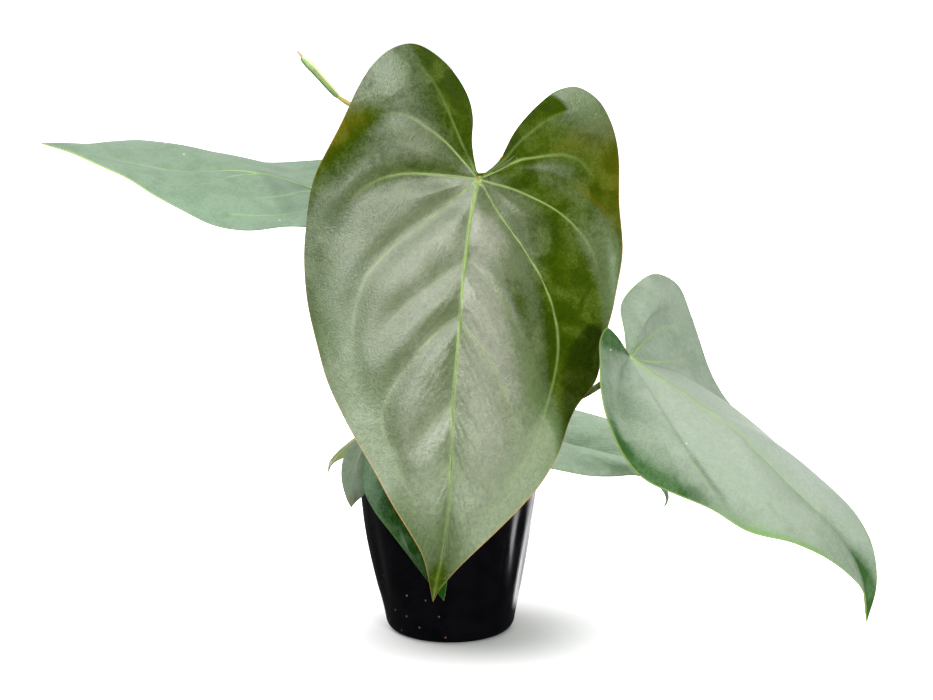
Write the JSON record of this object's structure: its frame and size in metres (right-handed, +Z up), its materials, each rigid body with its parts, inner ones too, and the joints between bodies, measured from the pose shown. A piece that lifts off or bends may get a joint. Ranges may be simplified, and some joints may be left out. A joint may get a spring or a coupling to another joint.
{
  "type": "potted anthurium",
  "caption": "Potted velvet-leaved anthurium with large hanging heart-shaped leaves in a soft black nursery pot.",
  "frame": {"origin": "centre of the underside of the pot's base, on the surface it stands on", "axes": "+Z up; the large front leaf faces -Y; +X to the right as seen from the front"},
  "size_m": [0.5326, 0.2445, 0.3964],
  "materials": {
    "pot_film": "glossy thin film",
    "bark_mix": "coarse dry bark",
    "stem_bark": "matte, ringed",
    "front_leaf": "velvety leaf with a soft sheen",
    "front_petiole": "satin leaf stalk",
    "right_leaf": "velvety leaf with a soft sheen",
    "right_petiole": "satin leaf stalk",
    "left_leaf": "velvety leaf with a soft sheen",
    "left_petiole": "satin leaf stalk",
    "low_right_leaf": "velvety leaf with a soft sheen",
    "low_right_petiole": "satin leaf stalk",
    "low_front_leaf": "velvety leaf with a soft sheen",
    "low_front_petiole": "satin leaf stalk",
    "low_left_leaf": "velvety leaf with a soft sheen",
    "low_left_petiole": "satin leaf stalk",
    "curled_leaf": "velvety leaf with a soft sheen",
    "curled_petiole": "satin leaf stalk",
    "rolled_leaf": "velvety leaf with a soft sheen",
    "rolled_petiole": "satin leaf stalk"
  },
  "bodies": {
    "root": {"pot": "pot_film", "potting_mix": "bark_mix", "stem": "stem_bark", "front_blade": "front_leaf", "front_stalk": "front_petiole", "right_blade": "right_leaf", "right_stalk": "right_petiole", "left_blade": "left_leaf", "left_stalk": "left_petiole", "low_right_blade": "low_right_leaf", "low_right_stalk": "low_right_petiole", "low_front_blade": "low_front_leaf", "low_front_stalk": "low_front_petiole", "low_left_blade": "low_left_leaf", "low_left_stalk": "low_left_petiole", "curled_blade": "curled_leaf", "curled_stalk": "curled_petiole", "rolled_blade": "rolled_leaf", "rolled_stalk": "rolled_petiole"}
  },
  "joints": []
}
